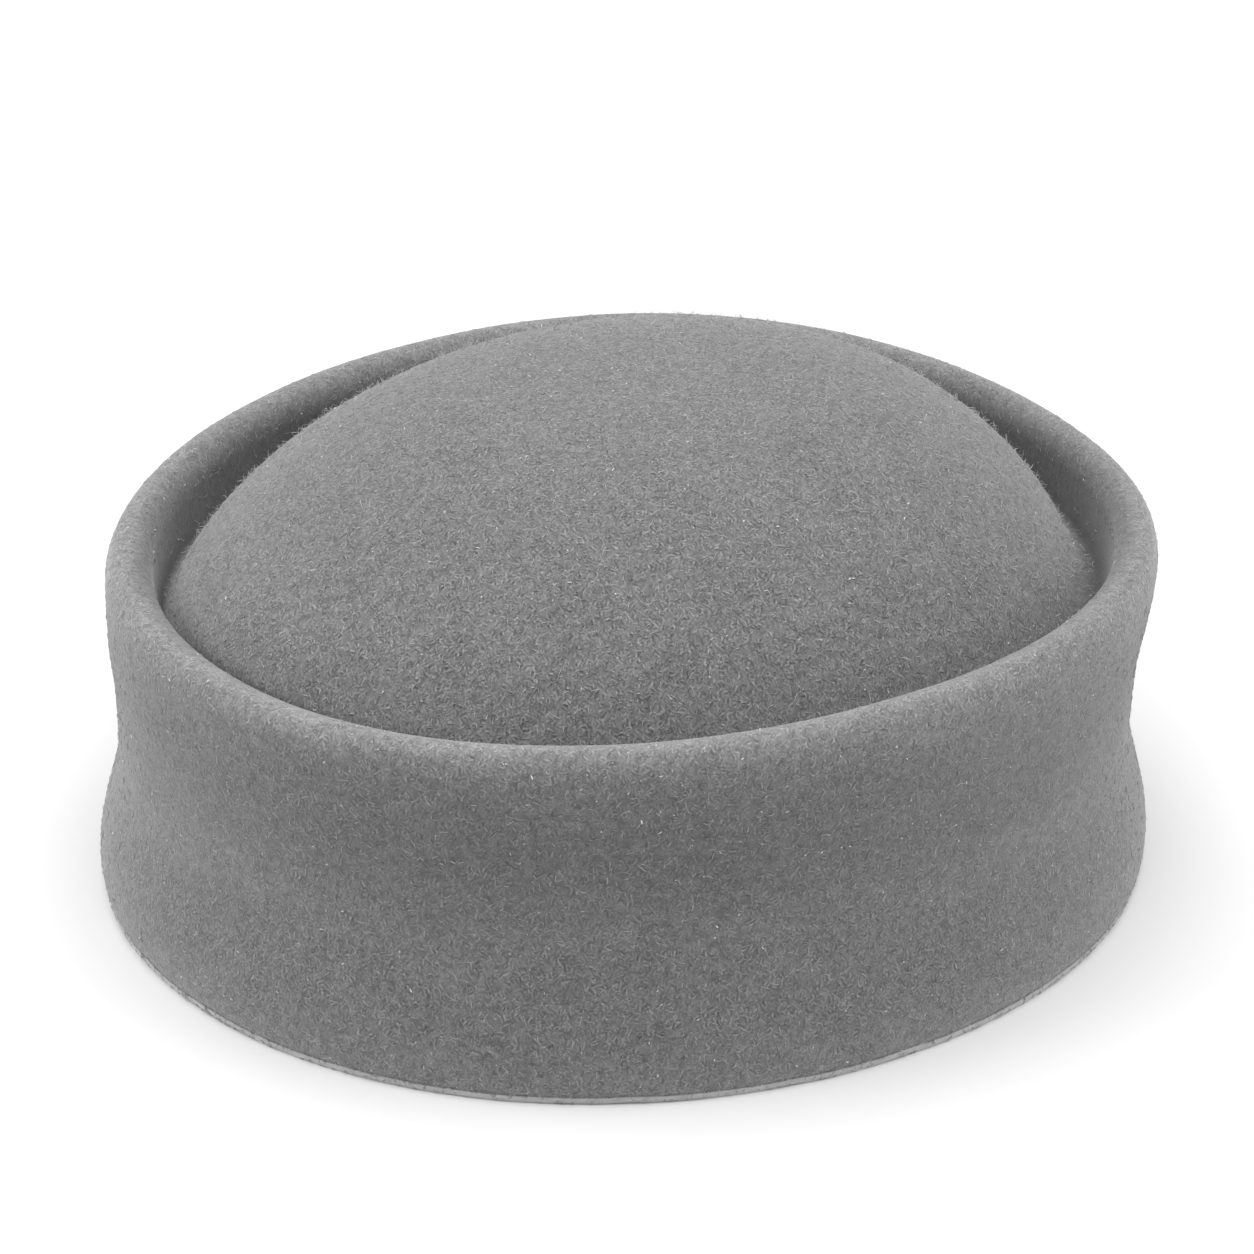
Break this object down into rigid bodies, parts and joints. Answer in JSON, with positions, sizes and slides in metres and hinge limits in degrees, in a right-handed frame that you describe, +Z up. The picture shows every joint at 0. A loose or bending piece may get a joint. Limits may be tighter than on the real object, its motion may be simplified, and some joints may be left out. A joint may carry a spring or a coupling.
{
  "type": "flight attendant hat",
  "caption": "Brimless felt pillbox hat, one blocked shell with a waisted side wall, rolled rim, groove and domed crown, open below for the head.",
  "frame": {"origin": "middle of the hem oval, on the plane that the hem rests on", "axes": "+X runs the long way of the head oval, towards the end where the dome stands fullest; +Z is up out of the crown"},
  "size_m": [0.1916, 0.1766, 0.0906],
  "materials": {
    "grey_felt": "matt mid-grey wool felt, short matted fibres with a faint nap"
  },
  "bodies": {
    "root": {"felt_shell": "grey_felt"}
  },
  "joints": []
}
